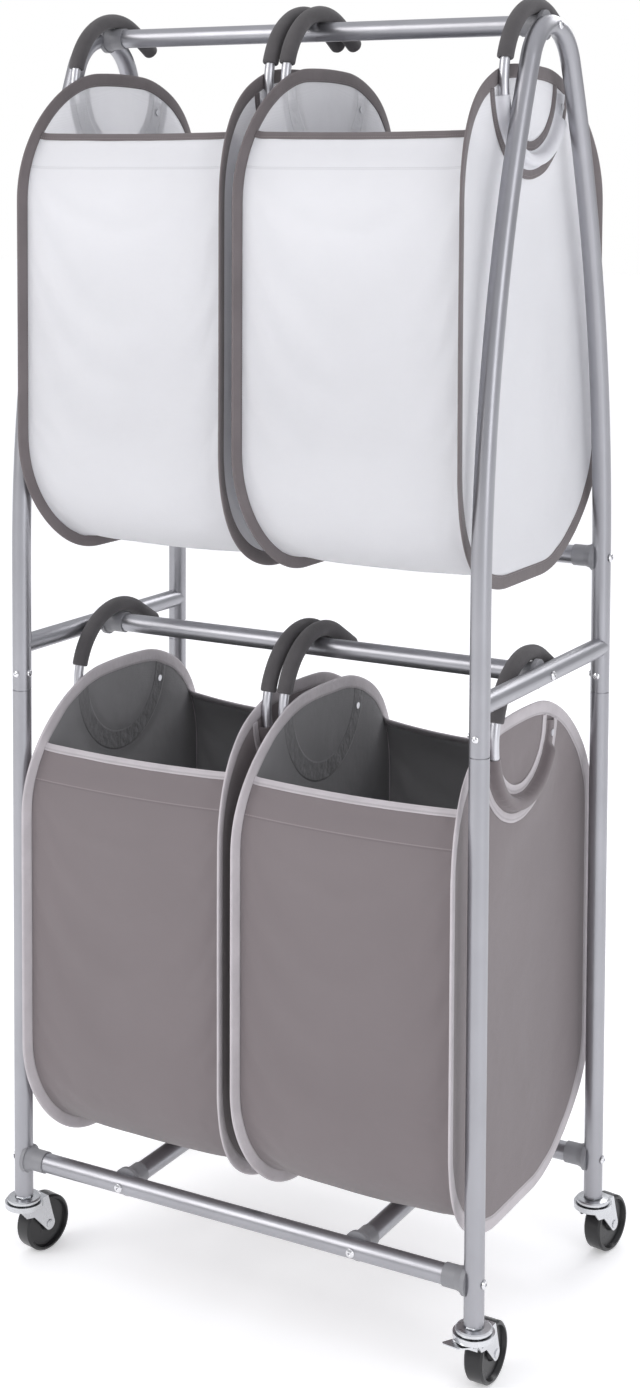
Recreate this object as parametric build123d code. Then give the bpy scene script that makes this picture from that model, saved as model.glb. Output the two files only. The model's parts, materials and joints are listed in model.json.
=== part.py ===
from build123d import *
from math import asin, atan2, cos, radians, sin, sqrt
import os

# Rolling laundry sorter: two tiers of hanging bags on a tube frame with four swivel casters.
# Millimetres.  +X is to the right, +Y to the back, +Z up; the floor is z = 0.

# --- driving dimensions: frame -------------------------------------------------------------
frame_width = 680.0            # between leg centres, left to right
frame_depth = 384.0            # between leg centres, front to back
tube_od = 25.4
tube_wall = 1.2
leg_joint_drop = 62.0          # cross tube's axis down to the joint between leg and arch
leg_joint_gap = 1.5            # bright ring of bare spigot left showing at the joint
spigot_length = 60.0
spigot_clearance = 0.1
base_rail_z = 140.0
base_gap = 5.0                 # base rails' axis up to the bottom of the lower bags
tier_gap = 117.0               # middle rail's axis up to the bottom of the upper bags
rear_rail_rise = 122.0         # middle rail's axis up to the rear rail's
arch_foam_gap = 4.8            # arch's small top bend to the foam that goes round it
arch_leg_radius = 1750.0       # long gentle bend of each leg
base_cross_x = 175.0           # the two front-to-back tubes of the base
leg_screw_rise = 24.0          # joint up to the screws that hold the spigot
cut_margin = 5.0               # how far a cutting shape reaches past what it cuts

# --- driving dimensions: fastenings --------------------------------------------------------
saddle_wall = 1.7              # sleeve round the rail
saddle_sleeve_length = 26.0    # from the face of the tube that it sits on
saddle_plug_length = 34.0
saddle_shoulder_length = 8.0
saddle_shoulder_rise = 4.3     # of the shoulder's wide end above the rail
saddle_flange_rise = 6.3       # of the flange above the rail
saddle_flange_reach = 6.5      # how far the flange hugs the tube
saddle_flange_edge = 1.1       # flange's edge short of the tube's face
rail_clearance = 1.0           # rail's end to the tube that it meets
bolt_radius = 3.0
bolt_hole_radius = 3.2
bolt_head_radius = 6.0
bolt_head_height = 3.2
bolt_reach = 36.0              # shank length past the face that the saddle sits on
screw_radius = 2.0
screw_hole_radius = 2.15
screw_head_radius = 4.6
screw_head_height = 2.4
bolt_fit = 0.05                # between a bolt or a stem and the plastic round it
seat_fit = 0.02                # between a saddle and an arch's bend, and a fork and its axle

# --- driving dimensions: casters -----------------------------------------------------------
wheel_radius = 37.75
wheel_width = 25.0
wheel_behind_stem = 3.75       # wheel's front edge ahead of the stem's axis
axle_radius = 4.0
fork_gap = 0.4                 # between hub and fork arm, each side
fork_sheet = 2.0
fork_over_wheel = 3.0          # top of the wheel to the top of the fork
stem_neck = 9.5                # top of the fork to the end of the leg
insert_length = 32.0
insert_floor = 2.0
stem_length = 28.0
hexagon_radius = 11.5
cup_height = 5.5
axle_boss_radius = 8.5
axle_head_radius = 5.6
axle_head_height = 2.0
fork_skirt = 5.0
fork_rim = 3.0                 # fork's plate beyond the race
wheel_clearance = 2.0          # wheel to the fork above it
hub_radius = 9.0
tread_depth = 7.0
race_radius = 23.0
ball_radius = 2.0
ball_circle = 16.0
balls_per_caster = 8
stem_radius = 5.0
running_gap = 0.06
casters = {                    # leg signs in x and y, trail angle away from +Y, has a brake
    "front_left": (-1, -1, 12.0, False),
    "front_right": (1, -1, 1.3, True),
    "rear_right": (1, 1, 9.5, False),
    "rear_left": (-1, 1, 5.0, True),
}

# --- driving dimensions: bags --------------------------------------------------------------
panel_depth = 444.0            # front to back over the binding
panel_height = 651.0
panel_corner = 170.0
panel_drop = 54.0              # rail centre down to the top of the side panels
wrap_drop = 136.0              # rail centre down to the top edge of the front and back
cloth = 1.5
flange_width = 18.0            # bound seam flange around each side panel
binding_thickness = 3.6
hoop_inset = 1.2
hoop_width = 5.1
hoop_thickness = 1.6
panel_inset = 6.5
flat_half = 125.0              # half width of the flat middle of a side panel
rim_bow = 11.1                 # how far the front and back rims stand out from the flat middle
wrap_binding_width = 9.0
wrap_binding_thickness = 0.8

# --- driving dimensions: hooks -------------------------------------------------------------
hook_ring_radius = 96.5        # centre line of the round hook
hook_tube_radius = 6.35
hook_tube_wall = 1.0
foam_radius = 11.0
foam_bore = 6.4
rest_gap = 0.3                 # foam to rail
hook_gap = 1.2                 # hook tube to the panel; it clears the bound rim that it crosses
hook_x_inner = 12.5            # planes of the hooks beside the middle of the rails
hook_leg_gap = {"upper": 1.45, "lower": 5.15}   # outer hooks' tubes to the legs
foam_front_angle = 164.0       # polar angles about the ring centre: 0 = back, 90 = top
tip_angle = 60.0
tip_length = 46.0
foam_tip_cover = 4.0
casing_front_angle = 190.6
casing_step_angle = 332.0
casing_end_angle = 354.0
rivet_angle = 344.0
rivet_radius = 2.0
rivet_hole_radius = 2.05
rivet_head_radius = 4.5
rivet_head_height = 1.2
tab_thickness = 2.8
tab_half_width = 6.0
casing_cloth = 0.8
casing_foot = 12.0             # half width of the casing, flat seams included
u_binding_width = 12.0
u_binding_thickness = 1.2

# --- worked out ----------------------------------------------------------------------------
leg_x = frame_width / 2
leg_y = frame_depth / 2
tube_r = tube_od / 2
bore_r = tube_r - tube_wall
spigot_r = bore_r - spigot_clearance
mid_rail_z = base_rail_z + base_gap + panel_height + panel_drop
top_rail_z = mid_rail_z + tier_gap + panel_height + panel_drop
rear_rail_z = mid_rail_z + rear_rail_rise
leg_joint_z = mid_rail_z - leg_joint_drop
leg_screw_z = leg_joint_z + leg_screw_rise
saddle_sleeve_radius = tube_r + saddle_wall
saddle_shoulder_radius = tube_r + saddle_shoulder_rise
saddle_flange_radius = tube_r + saddle_flange_rise
arch_top_radius = hook_ring_radius - foam_radius - tube_r - arch_foam_gap
arch_angle = atan2(sqrt((arch_leg_radius - arch_top_radius) ** 2 - (arch_leg_radius - leg_y) ** 2),
                   arch_leg_radius - leg_y)
arch_top_centre_z = top_rail_z - arch_top_radius
arch_bend_z = arch_top_centre_z - (arch_leg_radius - arch_top_radius) * sin(arch_angle)
rear_rail_y = leg_y - arch_leg_radius + sqrt(arch_leg_radius ** 2 - max(0, rear_rail_z - arch_bend_z) ** 2)
hook_x_outer = {tier: leg_x - tube_r - hook_tube_radius - gap for tier, gap in hook_leg_gap.items()}
hook_drop = hook_ring_radius - foam_radius - rest_gap - tube_r
tiers = {"upper": top_rail_z, "lower": mid_rail_z}
sides = {"left": -1, "right": 1}
arm_inner = wheel_width / 2 + fork_gap
arm_outer = arm_inner + fork_sheet
caster_trail = wheel_radius - wheel_behind_stem
fork_top_z = 2 * wheel_radius + fork_over_wheel
leg_end_z = fork_top_z + stem_neck
fork_plate_z = fork_top_z - fork_sheet
ball_z = fork_top_z + 0.8
cup_z = ball_z + 0.8

os.makedirs("parts", exist_ok=True)


def save(name, *solids):
    """Write one node, as one solid or as a group of separate solids."""
    pieces = [s for shape in solids for s in shape.solids()]
    shape = pieces[0] if len(pieces) == 1 else Compound(children=pieces)
    export_step(shape, f"parts/{name}.step")


def rod(start, end, radius):
    """Solid round bar from start to end."""
    start, end = Vector(*start), Vector(*end)
    bar = Cylinder(radius, (end - start).length, align=(Align.CENTER, Align.CENTER, Align.MIN))
    return Plane(origin=start, z_dir=end - start) * bar


def pipe(start, end, radius, wall):
    """Round tube from start to end."""
    return rod(start, end, radius) - rod(start, end, radius - wall)


def turned(points, start, direction):
    """Solid of revolution about the line from start along direction; points are (along, radius)."""
    profile = make_face(Polyline(*[(radius, along) for along, radius in points], close=True))
    spun = revolve(Plane.XZ * profile, axis=Axis.Z)
    return Plane(origin=start, z_dir=direction) * spun


# --- side frames ---------------------------------------------------------------------------

def arch_path():
    """Centre line of one arch in its own plane: (y, z) points joined by tangent arcs."""
    def leg_point(angle, side):
        y = leg_y - arch_leg_radius * (1 - cos(angle))
        return (0, side * y, arch_bend_z + arch_leg_radius * sin(angle))

    foot_z = leg_joint_z + leg_joint_gap
    pieces = []
    for side in (-1, 1):
        pieces.append(Line((0, side * leg_y, foot_z), leg_point(0, side)))
        pieces.append(ThreePointArc(leg_point(0, side), leg_point(arch_angle / 2, side),
                                    leg_point(arch_angle, side)))
    pieces.append(ThreePointArc(leg_point(arch_angle, -1), (0, 0, top_rail_z),
                                leg_point(arch_angle, 1)))
    return Wire(pieces)


def arch_rod(radius):
    """Arch centre line swept with a solid round section, whose seam runs clear of the holes."""
    foot = Plane(origin=(0, -leg_y, leg_joint_z + leg_joint_gap), x_dir=(1, 1, 0), z_dir=(0, 0, 1))
    section = foot * Circle(radius)
    return sweep(section, path=arch_path())


def side_frame(side):
    """Bent arch with the cross tube welded between its legs."""
    x = side * leg_x
    cross_start, cross_end = (x, -leg_y, mid_rail_z), (x, leg_y, mid_rail_z)
    wall_y = leg_y - tube_r
    body = Pos(x, 0, 0) * arch_rod(tube_r) + rod(cross_start, cross_end, tube_r)
    body -= Pos(x, 0, 0) * arch_rod(bore_r)
    body -= rod((x, -wall_y, mid_rail_z), (x, wall_y, mid_rail_z), bore_r)
    outside = x + side * (tube_r + cut_margin)
    inside = x - side * (tube_r + cut_margin)
    for y, z in ((0, top_rail_z), (0, mid_rail_z), (rear_rail_y, rear_rail_z)):
        body -= rod((inside, y, z), (outside, y, z), bolt_hole_radius)
    for y in (-leg_y, leg_y):
        front = y - tube_r - cut_margin
        body -= rod((x, y, leg_screw_z), (x, front, leg_screw_z), screw_hole_radius)
        body -= rod((x, y, leg_screw_z), (inside, y, leg_screw_z), screw_hole_radius)
    return body


def lower_leg(x_sign, y_sign):
    """Lower leg with the narrowed spigot that enters the arch."""
    x, y = x_sign * leg_x, y_sign * leg_y
    spigot_top = leg_joint_z + spigot_length
    body = rod((x, y, leg_end_z), (x, y, leg_joint_z), tube_r)
    body += rod((x, y, leg_joint_z), (x, y, spigot_top), spigot_r)
    body -= rod((x, y, leg_end_z), (x, y, leg_joint_z - tube_wall), bore_r)
    body -= rod((x, y, leg_joint_z - 2 * tube_wall), (x, y, spigot_top), spigot_r - tube_wall)
    past = tube_r + cut_margin
    body -= rod((x - past, y, base_rail_z), (x + past, y, base_rail_z), bolt_hole_radius)
    body -= rod((x, y, leg_screw_z), (x, y - past, leg_screw_z), screw_hole_radius)
    body -= rod((x, y, leg_screw_z), (x - past * x_sign, y, leg_screw_z), screw_hole_radius)
    return body


# --- rails, saddles and bolts --------------------------------------------------------------

def rail_ends():
    """Every rail end: axis point on the tube it meets, direction into the rail, tube direction."""
    ends = []
    for side in (-1, 1):
        into = (-side, 0, 0)
        ends.append(((side * leg_x, 0, top_rail_z), into, "arch"))
        ends.append(((side * leg_x, 0, mid_rail_z), into, "y"))
        ends.append(((side * leg_x, rear_rail_y, rear_rail_z), into, "arch"))
        for y in (-leg_y, leg_y):
            ends.append(((side * leg_x, y, base_rail_z), into, "z"))
        for x in (-base_cross_x, base_cross_x):
            ends.append(((x, side * leg_y, base_rail_z), (0, -side, 0), "x"))
    return ends


def rail(start, end):
    """Straight rail cut short of the two tubes it runs between."""
    start, end = Vector(*start), Vector(*end)
    along = (end - start).normalized()
    short = along * (tube_r + rail_clearance)
    return pipe(start + short, end - short, tube_r, tube_wall)


def saddle(point, into, runs):
    """Plastic saddle: flange that hugs the tube, sleeve round the rail and plug inside it."""
    face = tube_r
    edge = face - saddle_flange_edge
    sleeve_end, plug_end = face + saddle_sleeve_length, face + saddle_plug_length
    hug = face - saddle_flange_reach
    outer = [(hug, 0), (hug, saddle_flange_radius), (edge, saddle_flange_radius),
             (edge, saddle_shoulder_radius), (face + saddle_shoulder_length, saddle_sleeve_radius),
             (sleeve_end, saddle_sleeve_radius), (sleeve_end, 0)]
    rail_end, past = face + rail_clearance, plug_end + cut_margin
    slot = [(rail_end, bore_r), (rail_end, tube_r), (past, tube_r), (past, bore_r)]
    body = turned(outer, point, into)
    body += turned([(face, 0), (face, bore_r), (plug_end, bore_r), (plug_end, 0)], point, into)
    body -= turned(slot, point, into)
    hole = bolt_radius + bolt_fit
    body -= turned([(0, 0), (0, hole), (past, hole), (past, 0)], point, into)
    if runs == "arch":
        return body - Pos(point[0], 0, 0) * arch_rod(tube_r + seat_fit)
    past = saddle_flange_radius + cut_margin
    reach = {"x": Vector(past, 0, 0), "y": Vector(0, past, 0), "z": Vector(0, 0, past)}[runs]
    return body - rod(Vector(*point) - reach, Vector(*point) + reach, tube_r)


def button_head(start, direction, radius, height):
    """Low domed screw head standing on start."""
    dome = [(0, 0), (0, radius), (height * 0.35, radius), (height * 0.75, radius * 0.8),
            (height, radius * 0.45), (height, 0)]
    head = turned(dome, start, direction)
    socket_start = Vector(*start) + Vector(*direction) * (height * 0.4)
    socket_end = Vector(*start) + Vector(*direction) * (height + 1)
    return head - rod(socket_start, socket_end, radius * 0.3)


def rail_bolt(point, into, runs):
    """Bolt from the far side of the tube, through it and into the saddle's plug."""
    out = Vector(*into) * -1
    seat = Vector(*point) + out * tube_r
    end = Vector(*point) + Vector(*into) * (tube_r + bolt_reach)
    return rod(seat, end, bolt_radius) + button_head(seat, out, bolt_head_radius, bolt_head_height)


def leg_screw(x_sign, y_sign, facing):
    """Screw that holds the spigot in the arch, headed to the front or to the inside."""
    out = Vector(0, -1, 0) if facing == "front" else Vector(-x_sign, 0, 0)
    centre = Vector(x_sign * leg_x, y_sign * leg_y, leg_screw_z)
    seat = centre + out * tube_r
    tip = centre + out * (spigot_r - tube_wall - 2)
    return rod(seat, tip, screw_radius) + button_head(seat, out, screw_head_radius,
                                                      screw_head_height)


# --- casters -------------------------------------------------------------------------------

def leg_insert(x, y):
    """Plug in the foot of a leg, threaded for the caster stem."""
    top_z = leg_end_z + insert_length
    plug = rod((x, y, leg_end_z), (x, y, top_z), bore_r - bolt_fit)
    return plug - rod((x, y, leg_end_z), (x, y, top_z - insert_floor), stem_radius + bolt_fit)


def caster_stem(x, y):
    """Fixed top of a caster: domed cup, hexagon, threaded stem and king pin."""
    cup_top = cup_z + cup_height
    washer_z = leg_end_z - 1
    profile = [(0, 0), (0, race_radius), (3, race_radius), (4.4, race_radius - 2), (cup_height, 14),
               (cup_height, 0)]
    body = turned(profile, (x, y, cup_z), (0, 0, 1))
    body += Pos(x, y, cup_top) * extrude(RegularPolygon(hexagon_radius, 6), amount=washer_z - cup_top)
    body += rod((x, y, washer_z), (x, y, leg_end_z), hexagon_radius - 2.5)
    body += rod((x, y, leg_end_z), (x, y, leg_end_z + stem_length), stem_radius)
    pin_z = fork_plate_z - 2.5
    body += rod((x, y, pin_z), (x, y, cup_z), axle_radius)
    body += rod((x, y, pin_z), (x, y, fork_plate_z - 0.3), axle_radius + 3)
    groove = Pos(x, y, ball_z) * Torus(ball_circle, ball_radius + running_gap)
    return body - groove


def swivel_balls(x, y):
    """Balls between cup and fork."""
    balls = []
    for i in range(balls_per_caster):
        turn = radians(360 / balls_per_caster * i)
        place = Pos(x + ball_circle * cos(turn), y + ball_circle * sin(turn), ball_z)
        balls.append(place * Sphere(ball_radius))
    return balls


def fork_arm():
    """One fork arm as a flat plate in the (trail, z) plane, before it is moved sideways."""
    axle_z = wheel_radius
    boss = Pos(caster_trail, axle_z) * Circle(axle_boss_radius)
    top = fork_top_z
    web = make_face(Polyline((-17, top), (caster_trail - 3, top), (caster_trail + 8.3, axle_z + 2),
                             (caster_trail - 7.3, axle_z - 4.4), (6, top - 22.5), (-8, top - 19.5),
                             (-17, top - 8.5), close=True))
    return Plane.YZ * (boss + web)


def fork():
    """Swivelling fork, standing over the origin with its trail along +Y."""
    rim = race_radius + fork_rim
    body = Pos(0, 0, fork_plate_z) * extrude(Circle(rim), amount=fork_sheet)
    skirt = extrude(Circle(rim) - Circle(rim - fork_sheet + 0.2), amount=fork_skirt)
    body += Pos(0, 0, fork_plate_z - fork_skirt) * skirt
    crown_end = caster_trail - 3
    crown = Pos(0, (crown_end - 17) / 2, fork_plate_z + fork_sheet / 2)
    body += crown * Box(2 * arm_outer, crown_end + 17, fork_sheet)
    body -= rod((0, 0, 0), (0, 0, fork_top_z + cut_margin), axle_radius + running_gap)
    well = Cylinder(wheel_radius + wheel_clearance, 2 * arm_inner, rotation=(0, 90, 0))
    body -= Pos(0, caster_trail, wheel_radius) * well
    for side in (-1, 1):
        arm = extrude(fork_arm(), amount=fork_sheet)
        body += Pos(arm_inner if side > 0 else -arm_outer, 0, 0) * arm
    body -= Pos(0, 0, ball_z) * Torus(ball_circle, ball_radius + running_gap)
    past = arm_outer + cut_margin
    body -= rod((-past, caster_trail, wheel_radius), (past, caster_trail, wheel_radius),
                axle_radius + seat_fit)
    return body


def wheel():
    """Moulded wheel with a recessed web, hub and rounded tread."""
    half = wheel_width / 2
    hub_half = half + 0.1
    bore = axle_radius + running_gap
    tread = wheel_radius - tread_depth
    right = [(half - 2.5, wheel_radius), (half, wheel_radius - 2.5), (half, wheel_radius - 5),
             (half - 5, tread), (half - 5, hub_radius + 2), (hub_half, hub_radius), (hub_half, bore)]
    left = [(-along, radius) for along, radius in reversed(right)]
    return turned(left + right, (0, caster_trail, wheel_radius), (1, 0, 0))


def axle():
    """Rivet through the fork arms and the hub."""
    centre = (0, caster_trail, wheel_radius)
    right = [(arm_outer, axle_radius), (arm_outer, axle_head_radius), (arm_outer + 1.2, axle_head_radius),
             (arm_outer + axle_head_height, 3), (arm_outer + axle_head_height, 0)]
    left = [(-along, radius) for along, radius in reversed(right)]
    return turned(left + right, centre, (1, 0, 0))


brake_pivot = (-4.0, fork_top_z - 14.5)        # (trail, z) of the brake lever's pin
brake_pin_radius = 2.0
brake_barrel_radius = 4.3
brake_side_gap = 0.4
pedal_thickness = 2.0


def brake_lever():
    """Toe lever on a pin between the arms, with a cam that meets the wheel when pressed."""
    trail, z = brake_pivot
    half = arm_inner - brake_side_gap
    barrel = rod((-half, trail, z), (half, trail, z), brake_barrel_radius)
    cam = Pos(0, trail, z - 5.1) * Box(16, 4, 5)
    plan = Polyline((-9, trail + 2), (9, trail + 2), (9, -20), (-5, -31.5), (-27, -30), (-29, -27),
                    (-21, -14), (-17, -20), (-10, -20), close=True)
    pedal = Pos(0, 0, z + brake_barrel_radius - 0.8) * extrude(make_face(plan), amount=pedal_thickness)
    body = barrel + cam + pedal
    past = arm_outer + cut_margin
    return body - rod((-past, trail, z), (past, trail, z), brake_pin_radius + running_gap)


def brake_pin():
    """Pin of the brake lever, held in the fork arms."""
    trail, z = brake_pivot
    reach = arm_outer + 1.2
    return rod((-reach, trail, z), (reach, trail, z), brake_pin_radius)


# --- bags ----------------------------------------------------------------------------------

def outline_prism(rail_z, inset, x_low, x_high):
    """Side-panel outline, shrunk by inset, as a prism between two x planes."""
    outline = RectangleRounded(panel_depth - 2 * inset, panel_height - 2 * inset,
                               panel_corner - inset)
    prism = extrude(Plane.YZ * outline, amount=x_high - x_low)
    return Pos(x_low, 0, rail_z - panel_drop - panel_height / 2) * prism


def bowed_sheet(rail_z, x_flat, low, high):
    """Slab that follows a right-hand side panel: flat in the middle, bowed outwards at the rims.

    low and high are the slab's two faces, measured outwards from the panel's middle surface.
    """
    reach = panel_depth / 2 - flat_half
    bend_r = (reach ** 2 + rim_bow ** 2) / (2 * rim_bow)
    end_angle = asin((reach + 6) / bend_r)

    def point(offset, angle, side):
        r = bend_r - offset
        return (x_flat + bend_r - r * cos(angle), side * (flat_half + r * sin(angle)))

    edges = []
    for offset in (low, high):
        for side in (-1, 1):
            edges.append(ThreePointArc(point(offset, 0, side), point(offset, end_angle / 2, side),
                                       point(offset, end_angle, side)))
        edges.append(Line(point(offset, 0, -1), point(offset, 0, 1)))
    for side in (-1, 1):
        edges.append(Line(point(low, end_angle, side), point(high, end_angle, side)))
    bottom = rail_z - panel_drop - panel_height - 10
    slab = extrude(make_face(edges), amount=panel_height + 20)
    return Pos(0, 0, bottom) * slab


def ring_plane(x, rail_z, angle):
    """Plane through the hook ring's axis: local x is the radius, local y points along +X."""
    a = radians(angle)
    return Plane(origin=(x, 0, rail_z - hook_drop), x_dir=(0, cos(a), sin(a)),
                 z_dir=(0, sin(a), -cos(a)))


def ring_part(profile, x, rail_z, start_angle, end_angle):
    """Profile in (radius, outward) swept round the hook ring's axis between two angles."""
    axis = Axis((x, 0, rail_z - hook_drop), (1, 0, 0))
    placed = ring_plane(x, rail_z, start_angle) * profile
    return revolve(placed, axis=axis, revolution_arc=end_angle - start_angle)


def tip_rod(x, rail_z, radius, length):
    """Straight tip of the hook beyond its round part."""
    a = radians(tip_angle)
    centre = Vector(x, 0, rail_z - hook_drop)
    start = centre + Vector(0, hook_ring_radius * cos(a), hook_ring_radius * sin(a))
    return rod(start, start + Vector(0, sin(a), -cos(a)) * length, radius)


def ring_rectangle(r_low, r_high, x_low, x_high):
    return Pos((r_low + r_high) / 2, (x_low + x_high) / 2) * Rectangle(r_high - r_low,
                                                                       x_high - x_low)


def hook_tube(face_x, rail_z):
    """Round tube hook that lies on the panel face at face_x and ends in a flattened tab."""
    x = face_x + hook_gap + hook_tube_radius
    section = Pos(hook_ring_radius, 0) * (Circle(hook_tube_radius)
                                          - Circle(hook_tube_radius - hook_tube_wall))
    body = ring_part(section, x, rail_z, tip_angle, casing_step_angle - 2)
    tip = tip_rod(x, rail_z, hook_tube_radius, tip_length)
    body += tip - tip_rod(x, rail_z, hook_tube_radius - hook_tube_wall, tip_length)
    tab = ring_rectangle(hook_ring_radius - tab_half_width, hook_ring_radius + tab_half_width,
                         hook_gap, hook_gap + tab_thickness)
    body += ring_part(tab, face_x, rail_z, casing_step_angle - 3, casing_end_angle - 3)
    return body - rivet_rod(face_x, rail_z, -cut_margin, 4 * cut_margin, rivet_hole_radius)


def rivet_rod(face_x, rail_z, x_low, x_high, radius):
    a = radians(rivet_angle)
    y = hook_ring_radius * cos(a)
    z = rail_z - hook_drop + hook_ring_radius * sin(a)
    return rod((face_x + x_low, y, z), (face_x + x_high, y, z), radius)


def hook_rivet(face_x, rail_z):
    """Rivet through panel, tab and casing."""
    top = hook_gap + tab_thickness + 0.1 + casing_cloth
    low, high = -cloth - rivet_head_height, top + rivet_head_height
    body = rivet_rod(face_x, rail_z, low, high, rivet_radius)
    body += rivet_rod(face_x, rail_z, low, -cloth, rivet_head_radius)
    return body + rivet_rod(face_x, rail_z, top, high, rivet_head_radius)


def casing_profile(height, half_width):
    """Closed strip of cloth that lies flat, climbs over the hook and lies flat again."""
    r0 = hook_ring_radius
    t = casing_cloth
    return make_face(Polyline(
        (r0 - casing_foot, 0), (r0 - casing_foot, t), (r0 - half_width - t, t),
        (r0 - half_width - t, height - 3), (r0 - half_width + 2.2, height + t),
        (r0 + half_width - 2.2, height + t), (r0 + half_width + t, height - 3),
        (r0 + half_width + t, t), (r0 + casing_foot, t), (r0 + casing_foot, 0),
        (r0 + half_width, 0), (r0 + half_width, height - 3.2), (r0 + half_width - 2.6, height),
        (r0 - half_width + 2.6, height), (r0 - half_width, height - 3.2), (r0 - half_width, 0),
        close=True))


def hook_channel(face_x, rail_z):
    """Cloth casing over the hook, high over the tube and low over the flattened tab."""
    tube_top = hook_gap + 2 * hook_tube_radius + 0.1
    tab_top = hook_gap + tab_thickness + 0.1
    tall = casing_profile(tube_top, hook_tube_radius + 0.3)
    low_outer = ring_rectangle(hook_ring_radius - casing_foot, hook_ring_radius + casing_foot,
                               0, tab_top + casing_cloth)
    low_inner = ring_rectangle(hook_ring_radius - tab_half_width - 0.4,
                               hook_ring_radius + tab_half_width + 0.4, 0, tab_top)
    step = ring_rectangle(hook_ring_radius - hook_tube_radius, hook_ring_radius + hook_tube_radius,
                          tab_top, tube_top)
    body = ring_part(tall, face_x, rail_z, casing_front_angle, casing_step_angle)
    body += ring_part(low_outer - low_inner, face_x, rail_z, casing_step_angle - 0.3,
                      casing_end_angle)
    body += ring_part(step, face_x, rail_z, casing_step_angle - 0.6, casing_step_angle)
    return body - rivet_rod(face_x, rail_z, -cut_margin, 4 * cut_margin, rivet_hole_radius)


def u_binding(face_x, rail_z, r_low):
    """Flat bound edge beside the casing."""
    strip = ring_rectangle(r_low, r_low + u_binding_width, 0, u_binding_thickness)
    piece = ring_part(strip, face_x, rail_z, casing_front_angle, casing_end_angle)
    return piece & outline_prism(rail_z, flange_width, face_x, face_x + 5)


def foam_grip(face_x, rail_z, outer):
    """Foam sleeve over the top of the hook, dented where it presses on a saddle."""
    x = face_x + hook_gap + hook_tube_radius
    full = Pos(hook_ring_radius, 0) * Circle(foam_radius)
    hollow = Pos(hook_ring_radius, 0) * Circle(foam_bore)
    body = ring_part(full, x, rail_z, tip_angle, foam_front_angle)
    body += tip_rod(x, rail_z, foam_radius, tip_length + foam_tip_cover)
    body -= ring_part(hollow, x, rail_z, tip_angle, foam_front_angle)
    body -= tip_rod(x, rail_z, foam_bore, tip_length + 0.1)
    return body - saddle_dent(rail_z) if outer else body


def saddle_dent(rail_z):
    """Room in the foam for the saddle at the right-hand end of its rail."""
    face = leg_x - tube_r
    ends = ((face - saddle_sleeve_length - rest_gap, saddle_sleeve_radius),
            (face - saddle_shoulder_length - 2.3, saddle_shoulder_radius),
            (face + saddle_flange_edge - 0.4, saddle_flange_radius))
    dent = [rod((start, 0, rail_z), (leg_x, 0, rail_z), radius + rest_gap) for start, radius in ends]
    return dent[0] + dent[1] + dent[2]


def side_set(rail_z, hook_x, outer):
    """Everything on the right-hand side of a bag: panel, hoop, bindings, hook, casing, foam."""
    face_x = hook_x - hook_tube_radius - hook_gap
    x_flat = face_x - cloth / 2
    far = face_x + 40
    panel = bowed_sheet(rail_z, x_flat, -cloth / 2, cloth / 2)
    panel &= outline_prism(rail_z, panel_inset, face_x - 30, far)
    hoop = bowed_sheet(rail_z, x_flat, -hoop_thickness / 2, hoop_thickness / 2)
    hoop &= (outline_prism(rail_z, hoop_inset, face_x - 30, far)
             - outline_prism(rail_z, hoop_inset + hoop_width, face_x - 30, far))
    binding = bowed_sheet(rail_z, x_flat, -binding_thickness / 2, binding_thickness / 2)
    binding &= (outline_prism(rail_z, 0, face_x - 30, far)
                - outline_prism(rail_z, flange_width, face_x - 30, far))
    binding -= panel
    binding -= hoop
    panel -= rivet_rod(face_x, rail_z, -cloth - cut_margin, cut_margin, rivet_hole_radius)
    inner_u = u_binding(face_x, rail_z, hook_ring_radius - casing_foot - u_binding_width)
    outer_u = u_binding(face_x, rail_z, hook_ring_radius + casing_foot)
    return {
        "side_panels": [panel],
        "rim_hoops": [hoop],
        "bindings": [binding, inner_u, outer_u],
        "hook_channels": [hook_channel(face_x, rail_z)],
        "hook_tubes": [hook_tube(face_x, rail_z), hook_rivet(face_x, rail_z)],
        "foam_grips": [foam_grip(face_x, rail_z, outer)],
    }


def wrap_band(rail_z, inset, thickness, z_low, z_high, hook_x, centre_x, clear):
    """Front, bottom and back of a bag between its side panels, kept between two heights."""
    face_x = hook_x - hook_tube_radius - hook_gap
    half = face_x + rim_bow + 5 - centre_x
    band = (outline_prism(rail_z, inset, centre_x - half, centre_x + half)
            - outline_prism(rail_z, inset + thickness, centre_x - half, centre_x + half))
    band &= Pos(centre_x, 0, (z_low + z_high) / 2) * Box(2 * half, 2 * panel_depth, z_high - z_low)
    beyond = bowed_sheet(rail_z, face_x - cloth / 2, -clear, 40)
    band -= beyond
    return band - beyond.mirror(Plane.YZ.offset(centre_x))


def bag(tier, side_name):
    """All nodes of one bag."""
    rail_z = tiers[tier]
    side = sides[side_name]
    outer_x, inner_x = hook_x_outer[tier], hook_x_inner
    centre_x = (outer_x + inner_x) / 2
    middle = Plane.YZ.offset(centre_x)
    far_side = side_set(rail_z, outer_x, True)
    near_side = side_set(rail_z, outer_x, False)
    nodes = {name: pieces + [p.mirror(middle) for p in near_side[name]]
             for name, pieces in far_side.items()}
    top = rail_z - wrap_drop
    floor = rail_z - panel_drop - panel_height
    nodes["wrap_panel"] = [wrap_band(rail_z, flange_width, cloth, floor, top, outer_x, centre_x,
                                     cloth / 2)]
    bound = wrap_band(rail_z, flange_width - wrap_binding_thickness,
                      cloth + 2 * wrap_binding_thickness, top - wrap_binding_width,
                      top + wrap_binding_thickness, outer_x, centre_x, binding_thickness / 2 + 0.1)
    nodes["bindings"].append(bound - nodes["wrap_panel"][0])
    for name, pieces in nodes.items():
        placed = pieces if side > 0 else [p.mirror(Plane.YZ) for p in pieces]
        save(f"{tier}_{side_name}_{name}", *placed)


# --- build ---------------------------------------------------------------------------------

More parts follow.
